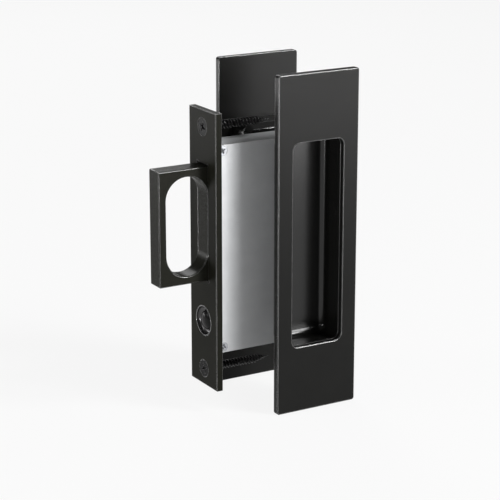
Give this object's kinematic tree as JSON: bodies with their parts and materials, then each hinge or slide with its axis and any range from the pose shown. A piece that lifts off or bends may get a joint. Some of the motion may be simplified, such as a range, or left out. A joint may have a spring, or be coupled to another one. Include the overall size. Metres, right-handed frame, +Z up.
{
  "type": "concealed sliding door handle",
  "caption": "Concealed handle set for a sliding door: a pop-out edge pull with a release button, and a recessed flush pull on each door face.",
  "frame": {"origin": "centre of the edge plate's back face, which seats in the door's edge, on the door's middle plane", "axes": "+X into the door from its edge, +Y through the door's thickness away from the front flush pull, +Z up along the plates"},
  "size_m": [0.085, 0.0536, 0.15],
  "materials": {
    "black_coat": "satin black coat",
    "black_screws": "black oxide",
    "cast_case": "zinc casting, fine satin",
    "zinc_screws": "bright zinc plate",
    "bright_pins": "ground steel",
    "spring_steel": "oiled spring steel"
  },
  "bodies": {
    "frame": {"edge_plate": "black_coat", "edge_plate_screws": "black_screws", "button_ring": "black_coat", "case_body": "cast_case", "case_cover": "cast_case", "case_cover_screws": "zinc_screws", "upper_guide_pin": "bright_pins", "lower_guide_pin": "bright_pins", "upper_pull_spring": "spring_steel", "lower_pull_spring": "spring_steel", "catch_spring": "spring_steel", "catch_rivet": "bright_pins", "front_plate": "black_coat", "front_cup": "black_coat", "front_fixing_posts": "zinc_screws", "rear_plate": "black_coat", "rear_cup": "black_coat", "rear_spacers": "zinc_screws", "fixing_screws": "black_screws"},
    "pull": {"edge_pull": "black_coat"},
    "button": {"release_button": "black_coat", "button_clip": "spring_steel"}
  },
  "joints": [
    {"name": "pull_slide", "type": "slide", "parent": "frame", "child": "pull", "axis": [1, 0, 0], "range_m": [0, 0.0234], "stiffness_N_per_m": 150, "springref_m": -0.02, "deforming": ["upper_pull_spring", "lower_pull_spring", "catch_spring"]},
    {"name": "button_slide", "type": "slide", "parent": "frame", "child": "button", "axis": [1, 0, 0], "range_m": [0, 0.0022], "stiffness_N_per_m": 600, "springref_m": -0.002, "deforming": ["catch_spring"]}
  ]
}
